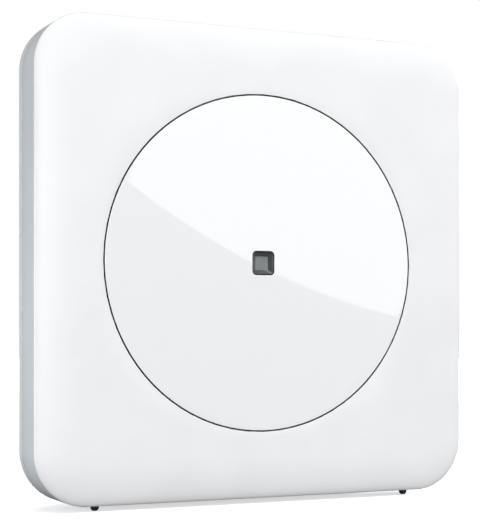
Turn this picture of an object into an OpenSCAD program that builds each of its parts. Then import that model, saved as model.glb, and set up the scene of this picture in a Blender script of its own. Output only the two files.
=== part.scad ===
// Smart home hub: an upright rounded-square hub with a glossy front disc, a smoked status window,
// a rear housing that holds the circuit board, and a sprung reset button.
// Millimetres. The origin is on the surface it stands on, under the middle. The front faces -Y.

/* [Body] */
// width across the front
body_w = 202.6; // [150:0.2:260]
// height of the body without its feet
body_h = 203; // [150:0.2:260]
// depth from the front disc to the back of the housing
body_d = 50; // [42:0.5:70]
// radius of the four front corners
corner_r = 22.5; // [12:0.5:40]
// how far the front rolls back towards its edges
crown_d = 3; // [1:0.1:5]
// width of the rolled border of the front
crown_w = 18; // [8:0.5:20]
// depth of the flat side wall behind the rolled border
skirt_d = 21.4; // [16:0.2:26]
// wall thickness of both mouldings
wall = 2.4; // [1.6:0.1:3]
// width of the parting groove between the mouldings
groove_w = 0.6; // [0.3:0.1:1.2]

/* [Front disc] */
// diameter of the glossy disc
disc_dia = 144.2; // [90:0.2:150]
// gap all round the disc
seam = 0.55; // [0.3:0.05:1]
// thickness of the disc
disc_t = 2.4; // [1.6:0.1:3]
// side of the square status window
window_w = 10.4; // [6:0.2:16]
// corner radius of the status window
window_r = 1.8; // [0.8:0.1:3]
// width of the window's bevelled border
window_bevel = 2.2; // [1:0.1:3]

/* [Rear housing] */
// how far the raised housing lies inside the body's sides
housing_side = 23.3; // [20:0.1:40]
// how far the housing's top lies below the body's top
housing_drop = 33; // [20:1:60]
// radius of the housing's rear edges
housing_round = 5; // [2:0.5:8]
// how far the keyholes for wall screws lie inside the housing's sides
keyhole_side = 28; // [20:1:50]
// radius of the keyholes' round entries
keyhole_r = 4.2; // [3:0.1:6]
// number of ventilation slots along the top and bottom of the housing
vent_count = 13; // [5:2:15]

/* [Feet] */
// height of the front feet
foot_h = 2.3; // [1.5:0.1:4]
// how far the front feet lie inside the start of the rounded corners
foot_side = 4.9; // [3:0.1:30]
// how far the front feet lie behind the front of the side wall
foot_back = 4.6; // [3:0.1:10]
// radius of the front feet where they meet the body
foot_r = 1.9; // [1.5:0.1:4]

/* [Circuit board] */
// gap between the board and the housing's outer sides
board_side = 5.5; // [5:0.1:12]
// gap between the board and the housing's top
board_top = 20.5; // [12:0.5:40]
// thickness of the board
board_t = 1.6; // [1:0.1:2]
// travel of the reset button
reset_travel = 0.6; // [0.3:0.1:1]

/* [Hidden] */
$fn = 64;
eps = 0.1;
y_front = -body_d / 2;
y_back = body_d / 2;
y_crease = y_front + crown_d;
y_rim = y_crease + skirt_d;
z_mid = foot_h + body_h / 2;
half_w = body_w / 2;

// front moulding
front_wall = 4.8;
y_inner = y_front + front_wall;
skirt_split = 0.78;
y_split = y_crease + skirt_split * skirt_d;
crown_steps = 6;
pocket_d = 2.6;
disc_r = disc_dia / 2;
adhesive_t = pocket_d - disc_t;
adhesive_w = 9;

// rear moulding
plate_t = wall;
y_plate = y_rim - plate_t;
lip_in = wall + 0.2;
lip_t = 1.8;
lip_d = 6;
rim_t = 1.6;

// case screws, one near each corner
boss_r = 4;
boss_gap = 0.8;
boss_reach = (corner_r - lip_in - lip_t - boss_r - boss_gap) * cos(45);
screw_x = half_w - corner_r + boss_reach;
screw_z = body_h / 2 - corner_r + boss_reach;
seat_d = 2;
y_seat = y_plate - seat_d;
head_r = 2.8;
head_t = 1.8;
shank_r = 1.3;
case_shank = 12;
board_shank = 8;
recess_r = 3.2;
recess_d = 2.2;
pilot_r = 1.4;
clear_r = 1.6;

// rear housing, whose bottom lies a little above the body's
rear_foot_r = 4;
rear_foot_side = 22;
housing_lift = 1.2;
housing_w = body_w - 2 * housing_side;
housing_z0 = foot_h + housing_lift;
housing_z1 = foot_h + body_h - housing_drop;
housing_h = housing_z1 - housing_z0;
housing_z = (housing_z0 + housing_z1) / 2;
housing_r = 14;
housing_in = housing_w / 2 - wall;
inner_round = max(0.5, housing_round - wall);
keyhole_drop = 40;
keyhole_z = housing_z1 - keyhole_drop;
keyhole_x = housing_w / 2 - keyhole_side;
keyhole_slot_r = 2.2;
keyhole_slot = 8;
vent_w = 2.4;
vent_d = 9;
vent_side = 30;
vent_pitch = (housing_w - 2 * vent_side) / (vent_count - 1);

// circuit board, its front face at y_board and its back face at y_mount; the chips are placed up
// from its bottom edge, the shields in from its sides and down from the antennas
y_board = y_rim + 2.6;
y_mount = y_board + board_t;
board_bottom = 10.5;
board_w = housing_w - 2 * board_side;
board_h = housing_h - board_bottom - board_top;
board_z0 = housing_z0 + board_bottom;
board_z = board_z0 + board_h / 2;
board_right = board_w / 2;
board_screw_in = 7;
board_screw_x = board_w / 2 - board_screw_in;
board_screw_z = board_h / 2 - board_screw_in;
stud_r = 3.5;
chip_x = -8;
chip_z = board_z0 + 35;
chip_size = [17, 1.4, 17];
memory_x = 17;
memory_size = [8.4, 1.1, 12.6];
flash_x = -34;
flash_size = [12, 1.1, 18];
crystal_x = 7;
crystal_rise = 20;
crystal_size = [3.2, 1.2, 5];

// ports in the housing's right wall
jack_z = board_z0 + 42;
usb_z = board_z0 + 68;
reset_z = board_z0 + 90;
jack_y = y_mount + 6;
jack_size = [13.4, 10.5, 9.4];
jack_nose_r = 4;
jack_hole_r = 4.3;
jack_bore_r = 2.75;
jack_bore_d = 9;
jack_pin_r = 1;
jack_pin_len = 8;
jack_overhang = 1.2;
port_set = 0.3;
x_port = housing_in + wall - port_set;
usb_size = [14, 7, 14.4];
usb_wall = 0.5;
usb_gap = 0.3;
usb_y = y_mount + usb_size[1] / 2;

// coil and capacitors beside the power inlet
coil_size = [12, 6, 12];
coil_x = board_right - 30.5;
coil_z = jack_z - 3;
capacitor_r = 4;
capacitor_h = 10;
capacitor_pitch = 10;

// reset switch and button, both along X
reset_y = y_mount + 3.5;
switch_size = [5, 6, 6];
switch_x = board_right - switch_size[0] - 1;
plunger_r = 1.2;
button_r = 1.8;
button_hole_r = 1.88;
button_flange_r = 2.8;
button_flange_t = 0.8;

// light path from the board to the window
pipe_r = 2.2;
pipe_hole_r = 2.5;
shroud_r = 3.6;
led_size = [2.8, 1.2, 2.8];
window_set = 0.3;

// antennas: two stamped ones on the board, and a film with its lead in the front moulding
strip_size = [27.5, 0.5, 5];
strip_stand = 6;
strip_gap = 4;
strip_x = board_screw_x - head_r - strip_gap - strip_size[0] / 2;
strip_z = board_z + board_screw_z;
lead_r = 0.65;
lead_bend = 4;
film_z = board_z + 35;
film_size = [0.3, 9, 42];
lead_y = y_inner + 5.2;
socket_in = 12;
socket_x = -board_right + socket_in;
socket_r = 1.4;
socket_h = 1.2;

// stamped shields over the radios, as width and height
shield_h = 3;
shield_side = 12;
shield_drop = 15;
shield_gap = 6;
shield_top = strip_z - strip_size[2] / 2 - shield_drop;
wifi_size = [24, 28];
mesh_upper_size = [26, 20];
mesh_lower_size = [20, 24];

// ---- shared shapes ----

module rounded_square(w, h, r) {
    square([w - 2 * r, h], center = true);
    square([w, h - 2 * r], center = true);
    for (x = [-1, 1], z = [-1, 1])
        translate([x * (w / 2 - r), z * (h / 2 - r)])
            circle(r = r);
}

// extrudes a shape drawn in X and Z from y0 backwards
module slab(y0, t) {
    translate([0, y0 + t, 0])
        rotate([90, 0, 0])
            linear_extrude(t)
                children();
}

// the body's outline, drawn in by a margin
module body_outline(inset) {
    translate([0, z_mid])
        rounded_square(body_w - 2 * inset, body_h - 2 * inset, max(1, corner_r - inset));
}

// the rear housing's outline, drawn in by a margin
module housing_outline(inset) {
    translate([0, housing_z])
        rounded_square(housing_w - 2 * inset, housing_h - 2 * inset, max(1, housing_r - inset));
}

module ring_outline(inset, t) {
    difference() {
        body_outline(inset);
        body_outline(inset + t);
    }
}

// a straight round bar from y0 backwards
module bar_y(x, z, y0, len, r) {
    translate([x, y0 + len, z])
        rotate([90, 0, 0])
            cylinder(h = len, r = r);
}

// the same at a pair of x and z
module bar_at(at, y0, len, r) {
    bar_y(at[0], at[1], y0, len, r);
}

// a straight round bar from x0 to the right
module bar_x(x0, y, z, len, r) {
    translate([x0, y, z])
        rotate([0, 90, 0])
            cylinder(h = len, r = r);
}

// a block centred on x and z that starts at y0
module block(x, z, y0, size) {
    translate([x - size[0] / 2, y0, z - size[2] / 2])
        cube(size);
}

// corner n of four, as a pair of signs
function corner_sign(n) = [n == 1 || n == 3 ? -1 : 1, n <= 2 ? -1 : 1];

function case_screw_at(n) = [corner_sign(n)[0] * screw_x, z_mid + corner_sign(n)[1] * screw_z];

function board_screw_at(n) = [corner_sign(n)[0] * board_screw_x,
                              board_z + corner_sign(n)[1] * board_screw_z];

// a pan-head screw that points along dir (-1 forwards, 1 backwards), its head's underside at y_under
module screw(at, y_under, dir, shank_len) {
    slot_w = 0.7;
    y_head = dir < 0 ? y_under : y_under - head_t;
    y_shank = dir < 0 ? y_under - shank_len : y_under;
    y_slot = dir < 0 ? y_under + head_t - 1 : y_under - head_t - eps;
    difference() {
        union() {
            bar_at(at, y_head, head_t, head_r);
            bar_at(at, y_shank, shank_len, shank_r);
        }
        block(at[0], at[1], y_slot, [3.6, 1 + eps, slot_w]);
        block(at[0], at[1], y_slot, [slot_w, 1 + eps, 3.6]);
    }
}

// ---- front moulding and what sits in it ----

// the outer form: a straight skirt with a quarter-ellipse roll-off at the front
module front_form() {
    slice = 0.01;
    hull() {
        slab(y_crease, y_split - y_crease)
            body_outline(0);
        for (i = [1 : crown_steps]) {
            turn = 90 * i / crown_steps;
            slab(y_crease - crown_d * sin(turn), slice)
                body_outline(crown_w * (1 - cos(turn)));
        }
    }
}

module front_shell() {
    color([0.94, 0.94, 0.94])
    difference() {
        union() {
            difference() {
                front_form();
                slab(y_inner, y_split - y_inner + 1)
                    body_outline(wall);
            }
            for (n = [1 : 4])
                bar_at(case_screw_at(n), y_inner - eps, y_seat - y_inner + eps, boss_r);
        }
        bar_y(0, z_mid, y_front - 1, pocket_d + 1, disc_r + seam);
        bar_y(0, z_mid, y_front, front_wall + 1, pipe_hole_r);
        for (n = [1 : 4])
            bar_at(case_screw_at(n), y_seat - case_shank, case_shank + 1, pilot_r);
    }
}

module front_disc() {
    color([0.98, 0.98, 0.98])
    difference() {
        bar_y(0, z_mid, y_front, disc_t, disc_r);
        slab(y_front - 1, disc_t + 2)
            translate([0, z_mid])
                rounded_square(window_w, window_w, window_r);
    }
}

module disc_adhesive() {
    color([0.08, 0.08, 0.08])
    difference() {
        bar_y(0, z_mid, y_front + disc_t, adhesive_t, disc_r);
        bar_y(0, z_mid, y_front + disc_t - 1, adhesive_t + 2, disc_r - adhesive_w);
    }
}

// a smoked lens: a rounded square whose border slopes down to a flat centre
module status_window() {
    gap = 0.05;
    outer = window_w - 2 * gap;
    inner = outer - 2 * window_bevel;
    y_face = y_front + window_set;
    slope_d = 0.7;
    color([0.25, 0.28, 0.28])
    difference() {
        slab(y_face, pocket_d - window_set)
            translate([0, z_mid])
                rounded_square(outer, outer, window_r - gap);
        hull() {
            slab(y_face - 0.01, 0.01)
                translate([0, z_mid])
                    rounded_square(outer - 0.8, outer - 0.8, window_r - 0.4);
            slab(y_face + slope_d, 0.01)
                translate([0, z_mid])
                    rounded_square(inner, inner, 0.6);
        }
    }
}

module light_pipe() {
    color([0.85, 0.9, 0.92])
        bar_y(0, z_mid, y_front + pocket_d, y_board - led_size[1] - 0.3 - y_front - pocket_d, pipe_r);
}

module light_shroud() {
    shroud_len = 9;
    color([0.1, 0.1, 0.1])
    difference() {
        bar_y(0, z_mid, y_board - shroud_len, shroud_len, shroud_r);
        bar_y(0, z_mid, y_board - shroud_len - 1, shroud_len + 2, pipe_hole_r);
    }
}

module status_led() {
    color([0.95, 0.9, 0.7])
        block(0, z_mid, y_board - led_size[1], led_size);
}

// ---- rear moulding and what it stands on ----

// the housing's outline from y0 back to y1, drawn in by a margin, its back edges rounded
module housing_block(inset, y0, y1, edge_r) {
    steps = 4;
    slice = 0.01;
    hull() {
        slab(y0, y1 - edge_r - y0)
            housing_outline(inset);
        for (i = [1 : steps]) {
            turn = 90 * i / steps;
            slab(y1 - edge_r + edge_r * sin(turn) - slice, slice)
                housing_outline(inset + edge_r * (1 - cos(turn)));
        }
    }
}

module keyhole() {
    circle(r = keyhole_r);
    translate([-keyhole_slot_r, 0])
        square([2 * keyhole_slot_r, keyhole_slot]);
    translate([0, keyhole_slot])
        circle(r = keyhole_slot_r);
}

module vents() {
    for (i = [0 : vent_count - 1])
        for (z = [housing_z0 + wall / 2, housing_z1 - wall / 2])
            block((i - (vent_count - 1) / 2) * vent_pitch, z, y_mount + 3, [vent_w, vent_d, wall + 2]);
}

module port_openings() {
    bar_x(housing_in - 1, jack_y, jack_z, wall + 3, jack_hole_r);
    bar_x(housing_in - 1, reset_y, reset_z, wall + 3, button_hole_r);
    translate([housing_in - 1, usb_y - usb_size[1] / 2 - usb_gap, usb_z - usb_size[2] / 2 - usb_gap])
        cube([wall + 3, usb_size[1] + 2 * usb_gap, usb_size[2] + 2 * usb_gap]);
}

module rear_cover() {
    color([0.9, 0.9, 0.9])
    difference() {
        union() {
            difference() {
                union() {
                    slab(y_plate, plate_t)
                        body_outline(0);
                    housing_block(0, y_rim - eps, y_back, housing_round);
                }
                housing_block(wall, y_plate - eps, y_back - wall, inner_round);
            }
            slab(y_split + groove_w, y_plate - y_split - groove_w + eps)
                ring_outline(0, rim_t);
            slab(y_plate - lip_d, lip_d + eps)
                ring_outline(lip_in, lip_t);
            for (n = [1 : 4]) {
                bar_at(case_screw_at(n), y_seat, seat_d + eps, boss_r);
                bar_at(board_screw_at(n), y_mount, y_back - wall + eps - y_mount, stud_r);
            }
        }
        for (n = [1 : 4]) {
            bar_at(case_screw_at(n), y_seat - 1, seat_d + plate_t + 2, clear_r);
            bar_at(case_screw_at(n), y_rim - recess_d, recess_d + 1, recess_r);
            bar_at(board_screw_at(n), y_mount - 1, board_shank + 2, pilot_r);
        }
        slab(y_back - wall - 1, wall + 2)
            for (x = [-1, 1])
                translate([x * keyhole_x, keyhole_z])
                    keyhole();
        vents();
        port_openings();
    }
}

// side is -1 for the left and 1 for the right
module front_foot(side) {
    tip_r = foot_r * 0.72;
    color([0.04, 0.04, 0.04])
    translate([side * (half_w - corner_r - foot_side), y_crease + foot_back, 0])
        cylinder(h = foot_h, r1 = tip_r, r2 = foot_r);
}

module rear_foot(side) {
    tip_r = rear_foot_r * 0.9;
    color([0.04, 0.04, 0.04])
    translate([side * (housing_w / 2 - rear_foot_side), y_back - housing_round - rear_foot_r - 1, 0])
        cylinder(h = housing_z0, r1 = tip_r, r2 = rear_foot_r);
}

module case_screw(n) {
    color([0.6, 0.6, 0.62])
        screw(case_screw_at(n), y_rim - recess_d, -1, case_shank);
}

// ---- circuit board and its parts ----

module main_board() {
    color([0.05, 0.3, 0.18])
    difference() {
        slab(y_board, board_t)
            translate([0, board_z])
                rounded_square(board_w, board_h, 3);
        for (n = [1 : 4])
            bar_at(board_screw_at(n), y_board - 1, board_t + 2, clear_r);
    }
}

module board_screw(n) {
    color([0.6, 0.6, 0.62])
        screw(board_screw_at(n), y_board, 1, board_shank);
}

module processor() {
    color([0.12, 0.12, 0.13])
        block(chip_x, chip_z, y_board - chip_size[1], chip_size);
}

// a finned block on the processor
module heat_sink() {
    fins = 6;
    fin_t = 1.4;
    side = 20;
    base = 2;
    fin_h = 6;
    y_top = y_board - chip_size[1] - base;
    color([0.3, 0.3, 0.32])
    union() {
        block(chip_x, chip_z, y_top, [side, base, side]);
        for (i = [0 : fins - 1])
            block(chip_x - side / 2 + fin_t / 2 + i * (side - fin_t) / (fins - 1), chip_z,
                  y_top - fin_h, [fin_t, fin_h + eps, side]);
    }
}

module memory_chip() {
    color([0.12, 0.12, 0.13])
        block(memory_x, chip_z, y_board - memory_size[1], memory_size);
}

module flash_chip() {
    color([0.12, 0.12, 0.13])
        block(flash_x, chip_z, y_board - flash_size[1], flash_size);
}

// a stamped cover over a radio, its corners notched, with its top edge at z_top
module shield(x, z_top, size) {
    notch = 1;
    z = z_top - size[1] / 2;
    color([0.72, 0.73, 0.74])
    difference() {
        block(x, z, y_board - shield_h, [size[0], shield_h, size[1]]);
        for (i = [-1, 1], j = [-1, 1])
            block(x + i * size[0] / 2, z + j * size[1] / 2, y_board - shield_h - 1,
                  [notch, shield_h + 2, notch]);
    }
}

module wifi_shield() {
    shield(socket_x + socket_r + 3 + wifi_size[0] / 2, shield_top, wifi_size);
}

module mesh_shield_upper() {
    shield(board_right - shield_side - mesh_upper_size[0] / 2, shield_top, mesh_upper_size);
}

module mesh_shield_lower() {
    shield(board_right - shield_side - mesh_lower_size[0] / 2,
           shield_top - mesh_upper_size[1] - shield_gap, mesh_lower_size);
}

// a stamped inverted-F antenna on two legs along the board's top edge
module stamped_antenna(x) {
    leg_w = 2;
    color([0.8, 0.78, 0.7])
    union() {
        block(x, strip_z, y_board - strip_stand, strip_size);
        for (leg = [1.5, 8.5])
            translate([x - strip_size[0] / 2 + leg, y_board - strip_stand, strip_z - strip_size[2] / 2])
                cube([leg_w, strip_stand, strip_size[1]]);
    }
}

// a flexible antenna stuck to the inside of the left side wall
module film_antenna() {
    color([0.75, 0.5, 0.2])
        translate([-half_w + wall, lead_y - film_size[1] / 2, film_z - film_size[2] / 2])
            cube(film_size);
}

// its coaxial lead: straight off the film, then a bend down to the board
module antenna_lead() {
    x_film = -half_w + wall + film_size[0];
    x_turn = socket_x - lead_bend;
    color([0.15, 0.15, 0.15])
    union() {
        bar_x(x_film, lead_y, film_z, x_turn - x_film, lead_r);
        translate([x_turn, lead_y + lead_bend, film_z])
            rotate([0, 0, -90])
                rotate_extrude(angle = 90)
                    translate([lead_bend, 0])
                        circle(r = lead_r);
        bar_y(socket_x, film_z, lead_y + lead_bend, y_board - socket_h - lead_y - lead_bend, lead_r);
    }
}

module antenna_socket() {
    color([0.8, 0.65, 0.3])
        bar_y(socket_x, film_z, y_board - socket_h, socket_h, socket_r);
}

// power inlet: a block with a round nose and a round socket
module dc_jack() {
    x_block = board_right + jack_overhang;
    color([0.08, 0.08, 0.08])
    difference() {
        union() {
            translate([x_block - jack_size[0], y_mount, jack_z - jack_size[2] / 2])
                cube(jack_size);
            bar_x(x_block - 1, jack_y, jack_z, x_port - x_block + 1, jack_nose_r);
        }
        bar_x(x_port - jack_bore_d, jack_y, jack_z, jack_bore_d + 1, jack_bore_r);
    }
}

module dc_jack_pin() {
    color([0.8, 0.8, 0.82])
        bar_x(x_port - jack_bore_d, jack_y, jack_z, jack_pin_len, jack_pin_r);
}

// an open metal sleeve
module usb_socket() {
    color([0.75, 0.76, 0.78])
    translate([x_port - usb_size[0], usb_y - usb_size[1] / 2, usb_z - usb_size[2] / 2])
    difference() {
        cube(usb_size);
        translate([usb_wall, usb_wall, usb_wall])
            cube([usb_size[0], usb_size[1] - 2 * usb_wall, usb_size[2] - 2 * usb_wall]);
    }
}

module usb_tongue() {
    tongue = [8.5, 1.8, 11];
    color([0.93, 0.93, 0.9])
        translate([x_port - usb_size[0] + usb_wall, usb_y + 0.4, usb_z - tongue[2] / 2])
            cube(tongue);
}

// a square coil with a round dish in its top
module power_coil() {
    dish_d = 0.6;
    color([0.2, 0.2, 0.2])
    difference() {
        block(coil_x, coil_z, y_mount, coil_size);
        bar_y(coil_x, coil_z, y_mount + coil_size[1] - dish_d, dish_d + 1, coil_size[0] / 3);
    }
}

module capacitor(n) {
    color([0.15, 0.15, 0.3])
        bar_y(coil_x - coil_size[0] - (n - 1) * capacitor_pitch, coil_z, y_mount, capacitor_h, capacitor_r);
}

module crystal() {
    color([0.8, 0.8, 0.8])
        block(crystal_x, chip_z + crystal_rise, y_board - crystal_size[1], crystal_size);
}

module reset_switch() {
    color([0.2, 0.2, 0.2])
    difference() {
        translate([switch_x, y_mount, reset_z - switch_size[2] / 2])
            cube(switch_size);
        bar_x(switch_x + 1.5, reset_y, reset_z, switch_size[0], plunger_r + 0.08);
    }
}

// the switch's plunger, pushed in by the button
module reset_plunger() {
    x_in = switch_x + 1.5 + reset_travel + 0.2;
    color([0.7, 0.68, 0.6])
        bar_x(x_in, reset_y, reset_z, housing_in - button_flange_t - x_in, plunger_r);
}

// a round cap that passes through the housing's wall, held in by a flange
module reset_button() {
    stand = 0.4;
    gap = 0.05;
    color([0.75, 0.77, 0.78])
    union() {
        bar_x(housing_in - button_flange_t, reset_y, reset_z, button_flange_t - gap, button_flange_r);
        bar_x(housing_in - button_flange_t, reset_y, reset_z, button_flange_t + wall + stand, button_r);
    }
}

front_shell();
front_disc();
disc_adhesive();
status_window();
light_pipe();
light_shroud();
status_led();
rear_cover();
front_foot(-1);  // front_foot_left
front_foot(1);  // front_foot_right
rear_foot(-1);  // rear_foot_left
rear_foot(1);  // rear_foot_right
case_screw(1);  // case_screw_1
case_screw(2);  // case_screw_2
case_screw(3);  // case_screw_3
case_screw(4);  // case_screw_4
main_board();
board_screw(1);  // board_screw_1
board_screw(2);  // board_screw_2
board_screw(3);  // board_screw_3
board_screw(4);  // board_screw_4
processor();
heat_sink();
memory_chip();
flash_chip();
wifi_shield();
mesh_shield_upper();
mesh_shield_lower();
stamped_antenna(-strip_x);  // stamped_antenna_left
stamped_antenna(strip_x);  // stamped_antenna_right
film_antenna();
antenna_lead();
antenna_socket();
dc_jack();
dc_jack_pin();
usb_socket();
usb_tongue();
power_coil();
capacitor(1);  // capacitor_1
capacitor(2);  // capacitor_2
crystal();
reset_switch();
reset_plunger();
reset_button();
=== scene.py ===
"""Smart home hub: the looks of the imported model, with its camera, lights and floor."""
import math
import random

import bmesh
import bpy
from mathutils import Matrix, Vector


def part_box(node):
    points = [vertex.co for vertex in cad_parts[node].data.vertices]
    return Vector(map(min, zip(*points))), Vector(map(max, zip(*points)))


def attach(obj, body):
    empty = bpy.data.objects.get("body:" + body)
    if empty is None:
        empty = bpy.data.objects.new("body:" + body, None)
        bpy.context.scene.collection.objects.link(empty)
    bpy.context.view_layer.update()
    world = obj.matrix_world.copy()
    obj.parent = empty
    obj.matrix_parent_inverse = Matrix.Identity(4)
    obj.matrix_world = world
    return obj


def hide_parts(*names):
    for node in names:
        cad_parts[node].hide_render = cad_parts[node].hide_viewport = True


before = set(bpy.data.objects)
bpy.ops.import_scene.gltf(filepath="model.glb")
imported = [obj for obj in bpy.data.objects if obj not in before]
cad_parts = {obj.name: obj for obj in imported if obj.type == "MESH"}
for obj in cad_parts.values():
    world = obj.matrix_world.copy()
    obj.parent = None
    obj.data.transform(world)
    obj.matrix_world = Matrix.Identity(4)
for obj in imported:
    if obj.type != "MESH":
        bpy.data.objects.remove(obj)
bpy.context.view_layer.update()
MM = 0.001

# ---------------------------------------------------------------- sizes, in metres

SHELL_LO, SHELL_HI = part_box("front_shell")
COVER_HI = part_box("rear_cover")[1]
DISC_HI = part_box("front_disc")[1]
BOARD_LO, BOARD_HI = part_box("main_board")
HALF_W = SHELL_HI.x
HALF_H = (SHELL_HI.z - SHELL_LO.z) / 2
MID_Z = (SHELL_HI.z + SHELL_LO.z) / 2
FRONT_Y = SHELL_LO.y
BACK_Y = COVER_HI.y
WALL = 2.4 * MM

CORNER_R = 22.5 * MM
CROWN_W = 18 * MM
CROWN_D = 3 * MM
CREASE_Y = FRONT_Y + CROWN_D
SKIRT_D = 21.4 * MM
RIM_Y = CREASE_Y + SKIRT_D
PLATE_Y = RIM_Y - WALL
SEAT_Y = PLATE_Y - 2 * MM
SPLIT_Y = CREASE_Y + 0.78 * SKIRT_D
GROOVE = 0.6 * MM
INNER_Y = FRONT_Y + 4.8 * MM

POCKET_D = 2.6 * MM
DISC_R = DISC_HI.x
POCKET_R = DISC_R + 0.7 * MM
# Depths at which the painted shade in the seam round the disc begins and turns full black.
SEAM_SHADE_TOP = 0.08 * MM
SEAM_SHADE_FULL = 0.12 * MM
PIPE_HOLE_R = 2.5 * MM
WINDOW_HALF = 5.2 * MM
WINDOW_R = 1.8 * MM

HOUSING_HALF_W = HALF_W - 23.3 * MM
HOUSING_Z0 = SHELL_LO.z + 1.2 * MM
HOUSING_Z1 = SHELL_HI.z - 33 * MM
HOUSING_Z = (HOUSING_Z0 + HOUSING_Z1) / 2
HOUSING_HALF_H = (HOUSING_Z1 - HOUSING_Z0) / 2
HOUSING_R = 14 * MM
HOUSING_ROUND = 5 * MM
KEYHOLE_X = HOUSING_HALF_W - 28 * MM
KEYHOLE_Z = HOUSING_Z1 - 40 * MM
VENT_COUNT = 13
VENT_PITCH = (2 * HOUSING_HALF_W - 60 * MM) / (VENT_COUNT - 1)
MOUNT_Y = BOARD_HI.y
BOSS_R = 4 * MM
SCREW_HEAD_T = 1.8 * MM
SCREW_NUMBERS = range(1, 5)

ARC_STEPS = 28
SIDE_STEPS = 18
CROWN_STEPS = 30
FRONT = (0, -1, 0)
BACK = (0, 1, 0)
RIGHT = (1, 0, 0)
UP = (0, 0, 1)
DOWN = (0, 0, -1)


def place(node):
    """A node's lowest corner, highest corner and middle."""
    lo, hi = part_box(node)
    return lo, hi, (lo + hi) / 2


def middle(node):
    return place(node)[2]


def foot_of(node, axis):
    """The middle of the face of a node's box from which a piece grows along an axis."""
    lo, hi, at = place(node)
    return at - Vector(axis) * abs(Vector(axis).dot(hi - lo)) / 2


# ---------------------------------------------------------------- outlines

def rounded_rect(half_u, half_v, r, arc=ARC_STEPS, side=SIDE_STEPS):
    """Points of a rounded rectangle. Their number depends only on arc and side, so such loops match."""
    signs = [(1, -1), (1, 1), (-1, 1), (-1, -1)]
    points = []
    for k, (su, sv) in enumerate(signs):
        for i in range(arc + 1):
            a = math.radians(90 * (k - 1) + 90 * i / arc)
            points.append((su * (half_u - r) + r * math.cos(a), sv * (half_v - r) + r * math.sin(a)))
        end = math.radians(90 * k)
        nu, nv = signs[(k + 1) % 4]
        start = points[-1]
        stop = (nu * (half_u - r) + r * math.cos(end), nv * (half_v - r) + r * math.sin(end))
        for j in range(1, side):
            f = j / side
            points.append((start[0] + (stop[0] - start[0]) * f, start[1] + (stop[1] - start[1]) * f))
    return points


def small_rect(half_u, half_v, r):
    """A rounded rectangle with few points, for small pieces."""
    return rounded_rect(half_u, half_v, r, arc=5, side=1)


def circle(r, steps=48):
    turns = [2 * math.pi * i / steps for i in range(steps)]
    return [(r * math.cos(a), r * math.sin(a)) for a in turns]


def circle_like(points, r):
    """A circle with one point in the direction of each of the given points."""
    return [(r * u / math.hypot(u, v), r * v / math.hypot(u, v)) for u, v in points]


def mix_points(a, b, f):
    return [(p[0] + (q[0] - p[0]) * f, p[1] + (q[1] - p[1]) * f) for p, q in zip(a, b)]


def arc_profile(u, v, r, start, end, steps):
    """Points of an arc, angles in degrees."""
    turns = [math.radians(start + (end - start) * i / steps) for i in range(steps + 1)]
    return [(u + r * math.cos(a), v + r * math.sin(a)) for a in turns]


def keyhole(grow):
    """A round entry with a narrow slot that rises from it."""
    entry, slot, rise = 4.2 * MM + grow, 2.2 * MM + grow, 8 * MM
    meet = math.degrees(math.acos(slot / entry))
    return arc_profile(0, 0, entry, 180 - meet, 360 + meet, 36) + arc_profile(0, rise, slot, 0, 180, 18)


# ---------------------------------------------------------------- mesh helpers

def ring(points, y, x=0.0, z=MID_Z):
    """A loop of points as a ring in space, facing along Y."""
    return [Vector((x + u, y, z + v)) for u, v in points]


def add_skin(bm, rings, closed=False, cap=False):
    """Joins each ring to the next with quads."""
    rows = [[bm.verts.new(p) for p in r] for r in rings]
    pairs = list(zip(rows, rows[1:]))
    if closed:
        pairs.append((rows[-1], rows[0]))
    count = len(rows[0])
    for a, b in pairs:
        for i in range(count):
            j = (i + 1) % count
            bm.faces.new((a[i], a[j], b[j], b[i]))
    if cap:
        bm.faces.new(rows[0])
        bm.faces.new(rows[-1])


def frame_of(axis):
    """Two directions across an axis, so that a loop drawn in them faces along it."""
    if axis in (FRONT, BACK):
        return Vector((1, 0, 0)), Vector((0, 0, 1))
    if axis == RIGHT:
        return Vector((0, 1, 0)), Vector((0, 0, 1))
    return Vector((1, 0, 0)), Vector((0, 1, 0))


def add_prism(bm, levels, centre, axis):
    """A closed solid through (outline, height) levels along an axis."""
    across, upward = frame_of(axis)
    rings = []
    for points, height in levels:
        base = Vector(centre) + Vector(axis) * height
        rings.append([base + across * u + upward * v for u, v in points])
    add_skin(bm, rings, cap=True)


def add_lathe(bm, profile, centre, axis, steps=48, closed=False):
    """Turns (radius, height) points about an axis through centre. A radius of 0 closes an end."""
    across, upward = frame_of(axis)
    rows = []
    for r, height in profile:
        base = Vector(centre) + Vector(axis) * height
        if r == 0:
            rows.append([bm.verts.new(base)])
            continue
        rows.append([bm.verts.new(base + across * u + upward * v) for u, v in circle(r, steps)])
    pairs = list(zip(rows, rows[1:]))
    if closed:
        pairs.append((rows[-1], rows[0]))
    for a, b in pairs:
        for i in range(steps):
            j = (i + 1) % steps
            if len(a) == 1:
                bm.faces.new((a[0], b[j], b[i]))
            elif len(b) == 1:
                bm.faces.new((a[i], a[j], b[0]))
            else:
                bm.faces.new((a[i], a[j], b[j], b[i]))


def add_drill(bm, r, start, stop, centre, axis, steps=48):
    """A round cutter from one height to another along an axis."""
    add_lathe(bm, [(0, start), (r, start), (r, stop), (0, stop)], centre, axis, steps)


def add_tube(bm, centre, axis, outer, hole, height):
    """A round boss with a hole down it, its mouth chamfered."""
    ease = 0.25 * MM
    profile = [(hole, 0), (outer, 0), (outer, height - ease), (outer - ease, height)]
    profile += [(hole + ease, height), (hole, height - ease)]
    add_lathe(bm, profile, centre, axis, closed=True)


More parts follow.
